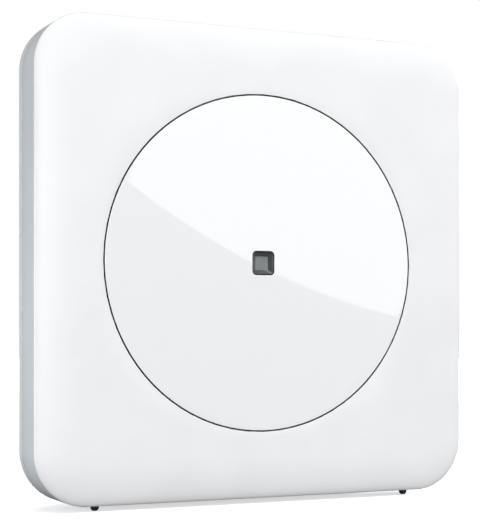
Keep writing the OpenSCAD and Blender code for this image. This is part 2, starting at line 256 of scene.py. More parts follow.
def add_block(bm, lo, hi, round_by=0.0, steps=2):
    """A box with rounded edges."""
    made = bmesh.ops.create_cube(bm, size=1)["verts"]
    for v in made:
        v.co = Vector([lo[i] + (v.co[i] + 0.5) * (hi[i] - lo[i]) for i in range(3)])
    if round_by:
        edges = list({e for v in made for e in v.link_edges})
        bmesh.ops.bevel(bm, geom=edges, offset=round_by, segments=steps, affect="EDGES", profile=0.5)


def as_object(bm, name="scratch"):
    """Turns mesh data into an object in the scene, its faces turned outwards."""
    bmesh.ops.recalc_face_normals(bm, faces=bm.faces)
    mesh = bpy.data.meshes.new(name)
    bm.to_mesh(mesh)
    bm.free()
    obj = bpy.data.objects.new(name, mesh)
    bpy.context.scene.collection.objects.link(obj)
    return obj


def carved(bm, tool):
    """The first solid with the second cut out of it."""
    solid, cutter = as_object(bm), as_object(tool)
    cut = solid.modifiers.new("cut", "BOOLEAN")
    cut.operation = "DIFFERENCE"
    cut.solver = "EXACT"
    cut.object = cutter
    graph = bpy.context.evaluated_depsgraph_get()
    made = bmesh.new()
    made.from_mesh(solid.evaluated_get(graph).to_mesh())
    bpy.data.objects.remove(solid)
    bpy.data.objects.remove(cutter)
    return made


def add_flared_cutter(bm, outline, centre, axis, depth, flare):
    """A cutter that goes in from a surface, with a 45 degree chamfer where it enters."""
    levels = [(outline(2 * flare), flare), (outline(0), -flare), (outline(0), -depth)]
    add_prism(bm, levels, centre, axis)


def piece(name, bm, material, node=None, body="hub", angle=32):
    """Turns mesh data into a piece that rides on a body, and stands for a CAD node if one is named."""
    obj = as_object(bm, name)
    mesh = obj.data
    mesh.polygons.foreach_set("use_smooth", [True] * len(mesh.polygons))
    mesh.set_sharp_from_angle(angle=math.radians(angle))
    mesh.materials.append(material)
    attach(obj, body)
    if node:
        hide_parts(node)


def turned(name, node, profile, axis, material, body="hub", steps=48):
    """A piece turned from one profile, which stands where its node does."""
    bm = bmesh.new()
    add_lathe(bm, profile, foot_of(node, axis), axis, steps)
    piece(name, bm, material, node, body)


def stepped(name, node, levels, axis, material):
    """A piece that runs through (outline, height) levels, and stands where its node does."""
    bm = bmesh.new()
    add_prism(bm, levels, foot_of(node, axis), axis)
    piece(name, bm, material, node)


def dress(node, material, bevel=0.0):
    """Gives a CAD node its material, and softens its edges."""
    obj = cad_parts[node]
    obj.data.materials.clear()
    obj.data.materials.append(material)
    weld = obj.modifiers.new("weld", "WELD")
    weld.merge_threshold = 0.001 * MM
    if bevel:
        soften = obj.modifiers.new("soften", "BEVEL")
        soften.width = bevel
        soften.segments = 2
        soften.limit_method = "ANGLE"
        soften.angle_limit = math.radians(40)
        soften.harden_normals = True


# ---------------------------------------------------------------- material helpers

def new_material(name, color, roughness, metallic=0.0, **settings):
    """A Principled material, with its node tree and shader."""
    mat = bpy.data.materials.new(name)
    mat.use_nodes = True
    tree = mat.node_tree
    shader = tree.nodes["Principled BSDF"]
    shader.inputs["Base Color"].default_value = (*color, 1)
    shader.inputs["Roughness"].default_value = roughness
    shader.inputs["Metallic"].default_value = metallic
    for key, value in settings.items():
        shader.inputs[key.replace("_", " ")].default_value = value
    return mat, tree, shader


def coordinates(tree, stretch=None):
    """The object's own coordinates, in metres."""
    coords = tree.nodes.new("ShaderNodeTexCoord")
    if stretch is None:
        return coords.outputs["Object"]
    mapping = tree.nodes.new("ShaderNodeMapping")
    mapping.inputs["Scale"].default_value = stretch
    tree.links.new(coords.outputs["Object"], mapping.inputs["Vector"])
    return mapping.outputs["Vector"]


def noise(tree, size, detail=2.0, rough=0.5, stretch=None):
    """A noise whose features are about the given size."""
    tex = tree.nodes.new("ShaderNodeTexNoise")
    tex.inputs["Scale"].default_value = 1 / size
    tex.inputs["Detail"].default_value = detail
    tex.inputs["Roughness"].default_value = rough
    tree.links.new(coordinates(tree, stretch), tex.inputs["Vector"])
    return tex.outputs["Fac"]


def tones(tree, value, first, last, start=0.3):
    """Runs from one colour to another as the value goes from start to 1 - start."""
    node = tree.nodes.new("ShaderNodeValToRGB")
    for element, position, color in zip(node.color_ramp.elements, (start, 1 - start), (first, last)):
        element.position = position
        element.color = (*color, 1)
    tree.links.new(value, node.inputs["Fac"])
    return node.outputs["Color"]


def span(tree, value, low, high, start=0.0, stop=1.0):
    """Maps the range start to stop onto low to high."""
    node = tree.nodes.new("ShaderNodeMapRange")
    node.inputs["From Min"].default_value = start
    node.inputs["From Max"].default_value = stop
    node.inputs["To Min"].default_value = low
    node.inputs["To Max"].default_value = high
    tree.links.new(value, node.inputs["Value"])
    return node.outputs["Result"]


def math_node(tree, operation, a, b=None):
    node = tree.nodes.new("ShaderNodeMath")
    node.operation = operation
    for socket, value in zip(node.inputs, (a, b)):
        if isinstance(value, (int, float)):
            socket.default_value = value
        elif value is not None:
            tree.links.new(value, socket)
    return node.outputs["Value"]


def mix_color(tree, factor, a, b):
    """Mixes two colours, each a socket or three numbers."""
    node = tree.nodes.new("ShaderNodeMix")
    node.data_type = "RGBA"
    tree.links.new(factor, node.inputs["Factor"])
    for name, value in (("A", a), ("B", b)):
        socket = [s for s in node.inputs if s.name == name and s.type == "RGBA"][0]
        if isinstance(value, tuple):
            socket.default_value = (*value, 1)
        else:
            tree.links.new(value, socket)
    return [s for s in node.outputs if s.type == "RGBA"][0]


def paint(tree, shader, color):
    """Gives a shader its base colour from a socket."""
    tree.links.new(color, shader.inputs["Base Color"])


def bump(tree, shader, height, strength, distance):
    """Raises the surface where height is large, by up to distance."""
    node = tree.nodes.new("ShaderNodeBump")
    node.inputs["Strength"].default_value = strength
    node.inputs["Distance"].default_value = distance
    tree.links.new(height, node.inputs["Height"])
    tree.links.new(node.outputs["Normal"], shader.inputs["Normal"])


def offset_from(tree, centre):
    """Distances from a point along X, Y and Z."""
    move = tree.nodes.new("ShaderNodeVectorMath")
    move.operation = "SUBTRACT"
    move.inputs[1].default_value = centre
    tree.links.new(coordinates(tree), move.inputs[0])
    parts = tree.nodes.new("ShaderNodeSeparateXYZ")
    tree.links.new(move.outputs["Vector"], parts.inputs["Vector"])
    return [math_node(tree, "ABSOLUTE", s) for s in parts.outputs]


def shade(color, factor):
    return tuple(min(1.0, c * factor) for c in color)


def plastic(name, color, roughness, grain=0.0, grain_size=0.4 * MM, spread=0.02, **settings):
    """Moulded plastic: slight cloudiness in its colour and gloss, and a fine eroded grain."""
    mat, tree, shader = new_material(name, color, roughness, **settings)
    cloud = noise(tree, 30 * MM, 3)
    paint(tree, shader, tones(tree, cloud, shade(color, 1 - spread), shade(color, 1 + spread)))
    tree.links.new(span(tree, cloud, roughness * 0.9, roughness * 1.1), shader.inputs["Roughness"])
    if grain:
        bump(tree, shader, noise(tree, grain_size, 4, 0.6), grain, 0.03 * MM)
    return mat


def metal(name, color, roughness, brushed=(1, 1, 1), spread=0.08):
    """Metal with fine marks, drawn out along the axis where brushed is small, and soft tarnish."""
    mat, tree, shader = new_material(name, color, roughness, metallic=1.0)
    marks = noise(tree, 0.25 * MM, 3, 0.6, brushed)
    cloud = noise(tree, 6 * MM, 3)
    paint(tree, shader, tones(tree, cloud, shade(color, 1 - spread), shade(color, 1 + spread), 0.25))
    tree.links.new(span(tree, marks, roughness * 0.75, roughness * 1.3), shader.inputs["Roughness"])
    bump(tree, shader, marks, 0.25, 0.01 * MM)
    return mat


# ---------------------------------------------------------------- materials

SHELL_WHITE = (0.888, 0.895, 0.91)
# Painted shade colour for the seam round the disc.
SEAM_SHADE_BLACK = (0.02, 0.02, 0.022)
LENS_CENTRE_HALF = 2.95 * MM
LENS_RIM_HALF = 4.6 * MM
LENS_BLUR = 0.1 * MM
ACRYLIC_IOR = 1.49


def smoked_lens():
    """Dark tinted acrylic: a smoky border, a sunk centre made lighter by painted light, and a rim made
    nearly black by painted shade.
    """
    mat, tree, shader = new_material("smoked_lens", (0.05, 0.06, 0.062), 0.08, IOR=ACRYLIC_IOR)
    across, _, upward = offset_from(tree, middle("status_window"))
    reach = math_node(tree, "MAXIMUM", across, upward)
    cloud = noise(tree, 3 * MM, 2)
    border = tones(tree, cloud, (0.075, 0.088, 0.092), (0.105, 0.122, 0.126), 0.2)
    # Painted light: the sunk centre is made lighter, as if lit through the lens.
    centre = tones(tree, cloud, (0.20, 0.215, 0.218), (0.24, 0.255, 0.258), 0.2)
    edge = span(tree, reach, 0, 1, LENS_CENTRE_HALF - LENS_BLUR, LENS_CENTRE_HALF + LENS_BLUR)
    lens_tint_and_painted_light = mix_color(tree, edge, centre, border)
    # Painted shade: the rim is made nearly black.
    rim = span(tree, reach, 0, 1, LENS_RIM_HALF - LENS_BLUR, LENS_RIM_HALF + LENS_BLUR)
    paint(tree, shader, mix_color(tree, rim, lens_tint_and_painted_light, (0.012, 0.014, 0.015)))
    return mat


def clear_acrylic():
    """Clear acrylic with faint flow lines along the pipe."""
    mat, tree, shader = new_material("clear_acrylic", (0.93, 0.96, 0.97), 0.06, IOR=ACRYLIC_IOR)
    shader.inputs["Transmission Weight"].default_value = 0.85
    flow = noise(tree, 4 * MM, 2, 0.5, (1, 0.2, 1))
    paint(tree, shader, tones(tree, flow, (0.9, 0.94, 0.95), (0.96, 0.98, 0.98)))
    bump(tree, shader, flow, 0.1, 0.02 * MM)
    return mat


def solder_mask():
    """Green lacquer over copper tracks, which show as paler raised lines."""
    cell, tracks_per_unit, track_share = 9 * MM, 7, 0.35
    mat, tree, shader = new_material("solder_mask", (0.012, 0.09, 0.045), 0.32, Coat_Weight=0.4)
    cells = tree.nodes.new("ShaderNodeTexVoronoi")
    cells.distance = "MANHATTAN"
    cells.inputs["Scale"].default_value = 1 / cell
    tree.links.new(coordinates(tree), cells.inputs["Vector"])
    lines = math_node(tree, "MULTIPLY", cells.outputs["Distance"], tracks_per_unit)
    tracks = math_node(tree, "LESS_THAN", math_node(tree, "FRACT", lines), track_share)
    weave = noise(tree, 0.8 * MM, 2)
    mask = tones(tree, weave, (0.010, 0.075, 0.038), (0.014, 0.095, 0.048))
    paint(tree, shader, mix_color(tree, tracks, mask, (0.03, 0.16, 0.075)))
    bump(tree, shader, tracks, 0.5, 0.035 * MM)
    return mat


def chip_plastic():
    """Black moulding compound with a fine even grain."""
    mat, tree, shader = new_material("chip_black", (0.022, 0.022, 0.024), 0.55)
    grain = noise(tree, 0.15 * MM, 3, 0.6)
    paint(tree, shader, tones(tree, grain, (0.018, 0.018, 0.020), (0.028, 0.028, 0.030)))
    bump(tree, shader, grain, 0.4, 0.02 * MM)
    return mat


def film_material():
    """Amber film with a ladder of copper lines under it."""
    pitch, line_share, half_width = 4 * MM, 0.45, 3.4 * MM
    mat, tree, shader = new_material("film_copper", (0.55, 0.28, 0.07), 0.28, Coat_Weight=0.5)
    _, across, along = offset_from(tree, middle("film_antenna"))
    rungs = math_node(tree, "FRACT", math_node(tree, "MULTIPLY", along, 1 / pitch))
    line = math_node(tree, "LESS_THAN", rungs, line_share)
    inside = math_node(tree, "LESS_THAN", across, half_width)
    copper = math_node(tree, "MULTIPLY", line, inside)
    film = tones(tree, noise(tree, 3 * MM), (0.50, 0.25, 0.06), (0.60, 0.31, 0.09))
    paint(tree, shader, mix_color(tree, copper, film, (0.80, 0.42, 0.22)))
    bump(tree, shader, copper, 0.5, 0.03 * MM)
    return mat


def capacitor_material():
    """A printed sleeve with a pale stripe down one side, and a bare aluminium top."""
    top_t, stripe_w = 0.35 * MM, 1.1 * MM
    lo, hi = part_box("capacitor_1")
    mat, tree, shader = new_material("capacitor_sleeve", (0.015, 0.015, 0.05), 0.3)
    coords = tree.nodes.new("ShaderNodeSeparateXYZ")
    tree.links.new(coordinates(tree), coords.inputs["Vector"])
    top = math_node(tree, "GREATER_THAN", coords.outputs["Y"], hi.y - top_t)
    low = math_node(tree, "LESS_THAN", coords.outputs["Z"], lo.z + stripe_w)
    sleeve = tones(tree, noise(tree, 2 * MM), (0.012, 0.012, 0.04), (0.02, 0.02, 0.06))
    striped = mix_color(tree, low, sleeve, (0.55, 0.57, 0.62))
    paint(tree, shader, mix_color(tree, top, striped, (0.72, 0.73, 0.75)))
    tree.links.new(top, shader.inputs["Metallic"])
    return mat


def shell_plastic():
    """The shell's matte white, with painted shade: black on the pocket's wall round the disc, where the
    seam lies in shade.
    """
    floor_depth = INNER_Y - FRONT_Y
    mat = plastic("shell_white", SHELL_WHITE, 0.42, grain=0.8, grain_size=0.9 * MM)
    tree = mat.node_tree
    shader = tree.nodes["Principled BSDF"]
    across, depth, upward = offset_from(tree, (0, INNER_Y, MID_Z))
    squares = [math_node(tree, "MULTIPLY", side, side) for side in (across, upward)]
    radius = math_node(tree, "SQRT", math_node(tree, "ADD", *squares))
    # Painted shade: a black band on the pocket's wall, where the seam round the disc lies in shade.
    near = span(tree, radius, 1, 0, POCKET_R + 0.02 * MM, POCKET_R + 0.06 * MM)
    sunk = span(tree, depth, 1, 0, floor_depth - SEAM_SHADE_FULL, floor_depth - SEAM_SHADE_TOP)
    outer = math_node(tree, "GREATER_THAN", depth, 0.5 * MM)
    seam_shade = math_node(tree, "MULTIPLY", math_node(tree, "MULTIPLY", near, sunk), outer)
    white = shader.inputs["Base Color"].links[0].from_socket
    paint(tree, shader, mix_color(tree, seam_shade, white, SEAM_SHADE_BLACK))
    return mat


def disc_gloss():
    """A glossy white film, with painted shade: its edge goes black in the seam round the disc."""
    mat, tree, shader = new_material("disc_gloss", (0.955, 0.96, 0.965), 0.02, IOR=1.74)
    coords = tree.nodes.new("ShaderNodeSeparateXYZ")
    tree.links.new(coordinates(tree), coords.inputs["Vector"])
    film = tones(tree, noise(tree, 40 * MM, 2), (0.953, 0.958, 0.966), (0.957, 0.962, 0.970))
    # Painted shade: the disc's edge turns black where it sits in the seam.
    depth = span(tree, coords.outputs["Y"], 0, 1, FRONT_Y + SEAM_SHADE_TOP, FRONT_Y + SEAM_SHADE_FULL)
    paint(tree, shader, mix_color(tree, depth, film, SEAM_SHADE_BLACK))
    orange_peel = noise(tree, 9 * MM, 1)
    bump(tree, shader, orange_peel, 0.02, 0.02 * MM)
    return mat


MAT = {
    "shell": shell_plastic(),
    "cover": plastic("cover_white", (0.86, 0.867, 0.88), 0.5, grain=0.8, grain_size=0.9 * MM),
    "disc": disc_gloss(),
    "adhesive": plastic("adhesive_foam", (0.02, 0.02, 0.02), 0.85, grain=0.9, grain_size=0.3 * MM),
    "lens": smoked_lens(),
    "pipe": clear_acrylic(),
    "black": plastic("black_plastic", (0.022, 0.022, 0.024), 0.42, grain=0.4, spread=0.1),
    "led": plastic("led_body", (0.86, 0.83, 0.66), 0.3, grain=0.2, spread=0.04),
    "rubber": plastic("foot_rubber", (0.013, 0.013, 0.013), 0.68, grain=0.7, grain_size=0.25 * MM,
                      spread=0.15),
    "screw": metal("screw_steel", (0.55, 0.55, 0.57), 0.3),
    "mask": solder_mask(),
    "chip": chip_plastic(),
    "anodised": metal("anodised_black", (0.035, 0.035, 0.038), 0.45, (1, 0.1, 1)),
    "shield": metal("tin_plate", (0.62, 0.63, 0.64), 0.34, (0.08, 1, 1)),
    "antenna": metal("antenna_plate", (0.66, 0.64, 0.58), 0.3, (0.08, 1, 1)),
    "film": film_material(),
    "lead": plastic("lead_jacket", (0.02, 0.02, 0.02), 0.38, grain=0.25, spread=0.1),
    "gold": metal("gold_plate", (0.83, 0.62, 0.25), 0.25),
    "contact": metal("nickel_plate", (0.68, 0.68, 0.69), 0.22, (0.1, 1, 1)),
    "tongue": plastic("tongue_white", (0.78, 0.78, 0.73), 0.45, grain=0.3),
    "ferrite": plastic("ferrite_grey", (0.045, 0.045, 0.05), 0.7, grain=0.9, grain_size=0.2 * MM,
                       spread=0.2),
    "capacitor": capacitor_material(),
    "plunger": plastic("plunger_cream", (0.64, 0.60, 0.45), 0.4, grain=0.3),
    "button": plastic("button_grey", (0.42, 0.45, 0.48), 0.42, grain=0.4),
    "tan": plastic("ceramic_tan", (0.36, 0.25, 0.15), 0.5, grain=0.3, spread=0.1),
}


# ---------------------------------------------------------------- front moulding, disc and window

def body_loop(inset):
    """The body's outline seen from the front, drawn in by an inset."""
    return rounded_rect(HALF_W - inset, HALF_H - inset, max(CORNER_R - inset, 1 * MM))


def housing_loop(inset):
    """The outline of the raised housing on the rear cover, drawn in by an inset."""
    return rounded_rect(HOUSING_HALF_W - inset, HOUSING_HALF_H - inset, max(HOUSING_R - inset, 1 * MM))


def crown_rings():
    """The roll-off: quarter-ellipse sections from the flat front out to the side wall."""
    rings = []
    for i in range(CROWN_STEPS + 1):
        t = math.radians(90 * (1 - i / CROWN_STEPS))
        rings.append(ring(body_loop(CROWN_W * (1 - math.cos(t))), CREASE_Y - CROWN_D * math.sin(t)))
    return rings


def front_shell():
    """The front shell's closed skin, from the pocket's floor outwards, and its four screw bosses."""
    edge = 0.1 * MM
    rear_edge = 0.12 * MM
    overlap = 0.1 * MM
    floor_y = FRONT_Y + POCKET_D
    flat = body_loop(CROWN_W)
    mouth = circle_like(flat, POCKET_R + edge)
    rings = [ring(circle_like(flat, PIPE_HOLE_R), floor_y), ring(circle_like(flat, POCKET_R), floor_y)]
    for drop, back in arc_profile(0, 0, edge, 0, 90, 4):
        rings.append(ring(circle_like(flat, POCKET_R + edge - drop), FRONT_Y + edge - back))
    rings += [ring(mix_points(mouth, flat, f), FRONT_Y) for f in (0.25, 0.5, 0.75)]
    rings += crown_rings()
    rings += [ring(body_loop(0), CREASE_Y + (SPLIT_Y - CREASE_Y) * f) for f in (0.02, 0.5)]
    for inward, back in arc_profile(0, 0, rear_edge, 0, 90, 4):
        rings.append(ring(body_loop(rear_edge - inward), SPLIT_Y - rear_edge + back))
    rings += [ring(body_loop(WALL), SPLIT_Y), ring(body_loop(WALL), INNER_Y)]
    rings += [ring(circle_like(body_loop(WALL), PIPE_HOLE_R), INNER_Y)]
    bm = bmesh.new()
    add_skin(bm, rings, closed=True)
    for n in SCREW_NUMBERS:
        at = middle(f"case_screw_{n}")
        start_y = INNER_Y - overlap
        add_tube(bm, (at.x, start_y, at.z), BACK, BOSS_R, 1.4 * MM, SEAT_Y - start_y)
    piece("front_shell_skin", bm, MAT["shell"], "front_shell")


def front_disc():
    """The disc, with the square opening for the window in its middle."""
    edge = 0.1 * MM
    ease = 0.12 * MM
    back_y = DISC_HI.y
    hole = rounded_rect(WINDOW_HALF, WINDOW_HALF, WINDOW_R, arc=40, side=24)
    wide = rounded_rect(WINDOW_HALF + ease, WINDOW_HALF + ease, WINDOW_R + ease, arc=40, side=24)
    rings = [ring(hole, back_y), ring(hole, FRONT_Y + ease), ring(wide, FRONT_Y)]
    rings += [ring(circle_like(hole, r * MM), FRONT_Y) for r in (15, 40, 70)]
    for outward, back in arc_profile(0, 0, edge, -90, 0, 6):
        rings.append(ring(circle_like(hole, DISC_R - edge + outward), FRONT_Y + edge + back))
    rings.append(ring(circle_like(hole, DISC_R), back_y))
    bm = bmesh.new()
    add_skin(bm, rings, closed=True)
    piece("front_disc_skin", bm, MAT["disc"], "front_disc")


def status_window():
    """A lens with a rounded rim and a border that slopes down to its flat centre."""
    lo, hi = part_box("status_window")
    half = hi.x
    corner, centre_corner = 1.75 * MM, 0.5 * MM
    rim = 0.35 * MM
    slope = 1.7 * MM
    levels = [(small_rect(half, half, corner), -hi.y)]
    for outward, front in arc_profile(0, 0, rim, 0, 180, 8):
        reach = half - rim + outward
        r = max(corner - rim + outward, centre_corner)
        levels.append((small_rect(reach, reach, r), -lo.y - rim + front))
    levels.append((small_rect(LENS_CENTRE_HALF, LENS_CENTRE_HALF, centre_corner), -lo.y - slope))
    bm = bmesh.new()
    add_prism(bm, levels, (0, 0, MID_Z), FRONT)
    piece("status_lens", bm, MAT["lens"], "status_window", angle=25)


def disc_adhesive():
    """A ring of foam tape whose cut edges bulge a little."""
    lo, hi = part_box("disc_adhesive")
    outer = hi.x
    inner = outer - 9 * MM
    bulge = 0.05 * MM
    mid = (hi.y - lo.y) / 2
    profile = [(inner, 0), (outer - bulge, 0), (outer, mid), (outer - bulge, 2 * mid)]
    profile += [(inner, 2 * mid), (inner + bulge, mid)]
    bm = bmesh.new()
    add_lathe(bm, profile, (0, lo.y, MID_Z), BACK, steps=128, closed=True)
    piece("disc_tape", bm, MAT["adhesive"], "disc_adhesive")


def round_bar(name, node, axis, radius, ease, material, body="hub"):
    """A round bar with eased ends, from one end of a node's box to the other."""
    lo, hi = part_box(node)
    length = abs(Vector(axis).dot(hi - lo))
    profile = [(0, 0), (radius - ease, 0), (radius, ease), (radius, length - ease)]
    profile += [(radius - ease, length), (0, length)]
    turned(name, node, profile, axis, material, body)


def light_shroud():
    """The tube that keeps the status light inside its pipe."""
    lo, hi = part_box("light_shroud")
    bm = bmesh.new()
    add_tube(bm, (0, hi.y, MID_Z), FRONT, hi.x, PIPE_HOLE_R, hi.y - lo.y)
    piece("light_shroud_tube", bm, MAT["black"], "light_shroud")


def status_led():
    """A chip LED: a pale body with a shallow round well."""
    lo, hi, at = place("status_led")
    above, depth = 0.1 * MM, 0.35 * MM
    bm, well = bmesh.new(), bmesh.new()
    add_block(bm, lo, hi, 0.12 * MM)
    profile = [(0, above), (1.0 * MM, above), (0.75 * MM, -depth), (0, -depth)]
    add_lathe(well, profile, (at.x, lo.y, at.z), FRONT)
    piece("status_led_chip", carved(bm, well), MAT["led"], "status_led")


# ---------------------------------------------------------------- rear moulding, feet and screws

def cover_skin():
    """The cover's closed skin: inside of the housing, plate, rim, plate again, outside of the housing."""
    rim_inset = 1.6 * MM
    rim_y = SPLIT_Y + GROOVE
    ease = 0.12 * MM
    rim_round = 0.3 * MM
    fillet = 0.4 * MM
    inner_round = HOUSING_ROUND - WALL
    middle_inset = 40 * MM

    def housing(inset, y):
        return ring(housing_loop(inset), y, z=HOUSING_Z)

    rings = [housing(middle_inset, BACK_Y - WALL)]
    for inward, back in arc_profile(0, 0, inner_round, 90, 0, 8):
        rings.append(housing(WALL + inner_round - inward, BACK_Y - HOUSING_ROUND + back))
    rings.append(housing(WALL, PLATE_Y))
    rings += [ring(body_loop(rim_inset), y) for y in (PLATE_Y, rim_y)]
    for outward, front in arc_profile(0, 0, ease, 90, 0, 4):
        rings.append(ring(body_loop(ease - outward), rim_y + ease - front))
    for outward, back in arc_profile(0, 0, rim_round, 0, 90, 6):
        rings.append(ring(body_loop(rim_round - outward), RIM_Y - rim_round + back))
    for inward, front in arc_profile(0, 0, fillet, 90, 0, 4):
        rings.append(housing(inward - fillet, RIM_Y + fillet - front))
    rings += [housing(0, RIM_Y + f * (BACK_Y - HOUSING_ROUND - RIM_Y)) for f in (0.35, 0.7)]
    for outward, back in arc_profile(0, 0, HOUSING_ROUND, 0, 90, 14):
        rings.append(housing(HOUSING_ROUND - outward, BACK_Y - HOUSING_ROUND + back))
    rings.append(housing(middle_inset, BACK_Y))
    bm = bmesh.new()
    add_skin(bm, rings, cap=True)
    return bm


def cover_cutters():
    """Vents above and below, two keyholes, the openings for the ports, and the screws' recesses."""
    through = WALL + 1 * MM
    chamfer = 0.3 * MM
    vent_u, vent_v, vent_r = 1.2 * MM, 4.5 * MM, 0.9 * MM
    vent_y = MOUNT_Y + 3 * MM + vent_v
    bm = bmesh.new()

    def vent(grow):
        return small_rect(vent_u + grow, vent_v + grow, vent_r + grow)

    for i in range(VENT_COUNT):
        x = (i - (VENT_COUNT - 1) / 2) * VENT_PITCH
        for z, axis in ((HOUSING_Z1, UP), (HOUSING_Z0, DOWN)):
            add_flared_cutter(bm, vent, (x, vent_y, z), axis, through, chamfer)
    for side in (-1, 1):
        add_flared_cutter(bm, keyhole, (side * KEYHOLE_X, BACK_Y, KEYHOLE_Z), BACK, through, chamfer)
    ports = [
        ("dc_jack_pin", lambda grow: circle(4.3 * MM + grow), chamfer),
        ("usb_socket", lambda grow: small_rect(3.8 * MM + grow, 7.5 * MM + grow, 0.8 * MM + grow), chamfer),
        ("reset_button", lambda grow: circle(1.88 * MM + grow), 0.2 * MM),
    ]
    for node, outline, flare in ports:
        at = middle(node)
        add_flared_cutter(bm, outline, (HOUSING_HALF_W, at.y, at.z), RIGHT, through, flare)
    head_r, shank_r, seat, ease = 3.2 * MM, 1.6 * MM, 2.2 * MM, 0.25 * MM
    recess = [(0, ease), (head_r + 2 * ease, ease), (head_r, -ease), (head_r, -seat)]
    recess += [(shank_r, -seat), (shank_r, -4 * MM), (0, -4 * MM)]
    for n in SCREW_NUMBERS:
        at = middle(f"case_screw_{n}")
        add_lathe(bm, recess, (at.x, RIM_Y, at.z), BACK)
    return bm


def rear_cover():
    """The cover with its openings, the lip inside the front shell, screw bosses and board posts."""
    bm = carved(cover_skin(), cover_cutters())
    lip_in = WALL + 0.2 * MM
    lip_out = lip_in + 1.8 * MM
    lip_y = PLATE_Y - 6 * MM
    ease = 0.3 * MM
    overlap = 0.1 * MM
    lip = [(lip_in + ease, lip_y), (lip_in, lip_y + ease), (lip_in, PLATE_Y + ease)]
    lip += [(lip_out, PLATE_Y + ease), (lip_out, lip_y + ease), (lip_out - ease, lip_y)]
    add_skin(bm, [ring(body_loop(inset), y) for inset, y in lip], closed=True)
    hole_r, hole_depth, post_r, root_r = 1.4 * MM, 10 * MM, 3.5 * MM, 3.8 * MM
    post_h = BACK_Y - WALL - MOUNT_Y
    post = [(0, hole_depth), (hole_r, hole_depth), (hole_r, 0), (post_r - 0.2 * MM, 0)]
    post += [(post_r, 0.2 * MM), (root_r, post_h), (0, post_h + overlap)]
    for n in SCREW_NUMBERS:
        at = middle(f"case_screw_{n}")
        boss_y = PLATE_Y + overlap
        add_tube(bm, (at.x, boss_y, at.z), FRONT, BOSS_R, 1.6 * MM, boss_y - SEAT_Y)
        at = middle(f"board_screw_{n}")
        add_lathe(bm, post, (at.x, MOUNT_Y, at.z), BACK)
    piece("rear_cover_skin", bm, MAT["cover"], "rear_cover")


def front_foot(side):
    """A moulded rubber foot that narrows to a round tip."""
    node = f"front_foot_{side}"
    lo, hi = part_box(node)
    top, height = (hi.x - lo.x) / 2, hi.z - lo.z
    tip = 0.3 * top
    flank = 0.96 * (top - tip)
    shoulder = height - 0.4 * MM
    profile = [(0, height), (top, height), (top, height - 0.35 * MM)]
    for i in range(9):
        a = math.radians(90 * i / 8)
        profile.append((tip + flank * math.cos(a), shoulder * (1 - math.sin(a))))
    profile.append((0, 0))
    turned(f"{node}_pad", node, profile, UP, MAT["rubber"])


def rear_foot(side):
    """A round rubber pad with a ring moulded into its underside."""
    node = f"rear_foot_{side}"
    lo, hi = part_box(node)
    top, height = (hi.x - lo.x) / 2, hi.z - lo.z
    r = 0.8 * MM
    dish = 0.3 * MM
    profile = [(0, height), (top, height), (top * 0.98, height * 0.6)]
    profile += arc_profile(top * 0.94 - r, r, r, 0, -90, 6)
    profile += [(top * 0.6, 0), (top * 0.54, dish), (0, dish)]
    turned(f"{node}_pad", node, profile, UP, MAT["rubber"])


def add_thread(bm, centre, axis, radius, length):
    """A threaded shank: a cylinder whose radius follows a helix, ending in a short point."""
    across, upward = frame_of(axis)
    pitch, depth = 0.9 * MM, 0.28 * MM
    start_fade, end_fade, point = 0.8 * MM, 2 * MM, 1.5 * MM
    tip_share = 0.55
    steps, rows_per_turn = 18, 6
    rows = int(length / pitch * rows_per_turn)
    rings = []
    for k in range(rows + 1):
        height = length * k / rows
        left = length - height
        fade = min(1, left / end_fade) * min(1, height / start_fade)
        core = (radius - depth) * (tip_share + (1 - tip_share) * min(1, left / point))
        base = Vector(centre) + Vector(axis) * height
        points = []
        for i in range(steps):
            turn = i / steps
            phase = (height / pitch - turn) % 1
            ridge = max(0, 1 - abs(phase - 0.5) * 4)
            r = core + depth * ridge * fade
            a = 2 * math.pi * turn
            points.append(base + across * r * math.cos(a) + upward * r * math.sin(a))
        rings.append(points)
    add_skin(bm, rings, cap=True)


def screw(node, axis, name):
    """A cross-head pan screw. The axis points from its head to its tip."""
    lo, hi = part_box(node)
    head_r = (hi.x - lo.x) / 2
    dome, ease = 0.9 * MM, 0.1 * MM
    top = foot_of(node, axis)
    head = [(0, 0), (head_r * 0.55, 0)] + arc_profile(head_r - dome, dome, dome, -90, 0, 6)
    head += [(head_r, SCREW_HEAD_T - ease), (head_r - ease, SCREW_HEAD_T), (0, SCREW_HEAD_T)]
    bm = bmesh.new()
    add_lathe(bm, head, top, axis)
    slot_l, slot_w, taper = 1.7 * MM, 0.33 * MM, 0.55
    for u, v in ((slot_l, slot_w), (slot_w, slot_l)):
        wide = small_rect(u, v, 0.12 * MM)
        deep = small_rect(u * taper, v * taper, 0.08 * MM)
        cutter = bmesh.new()
        add_prism(cutter, [(wide, -0.1 * MM), (wide, 0.05 * MM), (deep, 1.1 * MM)], top, axis)
        bm = carved(bm, cutter)
    shank_top = top + Vector(axis) * (SCREW_HEAD_T - 0.05 * MM)
    add_thread(bm, shank_top, axis, 1.3 * MM, hi.y - lo.y - SCREW_HEAD_T)
    piece(name, bm, MAT["screw"], node, angle=40)


front_shell()
front_disc()
status_window()
disc_adhesive()
round_bar("light_pipe_rod", "light_pipe", BACK, 2.2 * MM, 0.3 * MM, MAT["pipe"])
light_shroud()
status_led()
rear_cover()
for side in ("left", "right"):
    front_foot(side)
    rear_foot(side)
for n in SCREW_NUMBERS:
    screw(f"case_screw_{n}", FRONT, f"case_screw_body_{n}")
    screw(f"board_screw_{n}", BACK, f"board_screw_body_{n}")


# ---------------------------------------------------------------- circuit board and what sits on it

def block_piece(name, node, round_by, material):
    """A block with eased edges that fills a node's box."""
    lo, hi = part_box(node)
    bm = bmesh.new()
    add_block(bm, lo, hi, round_by)
    piece(name, bm, material, node)


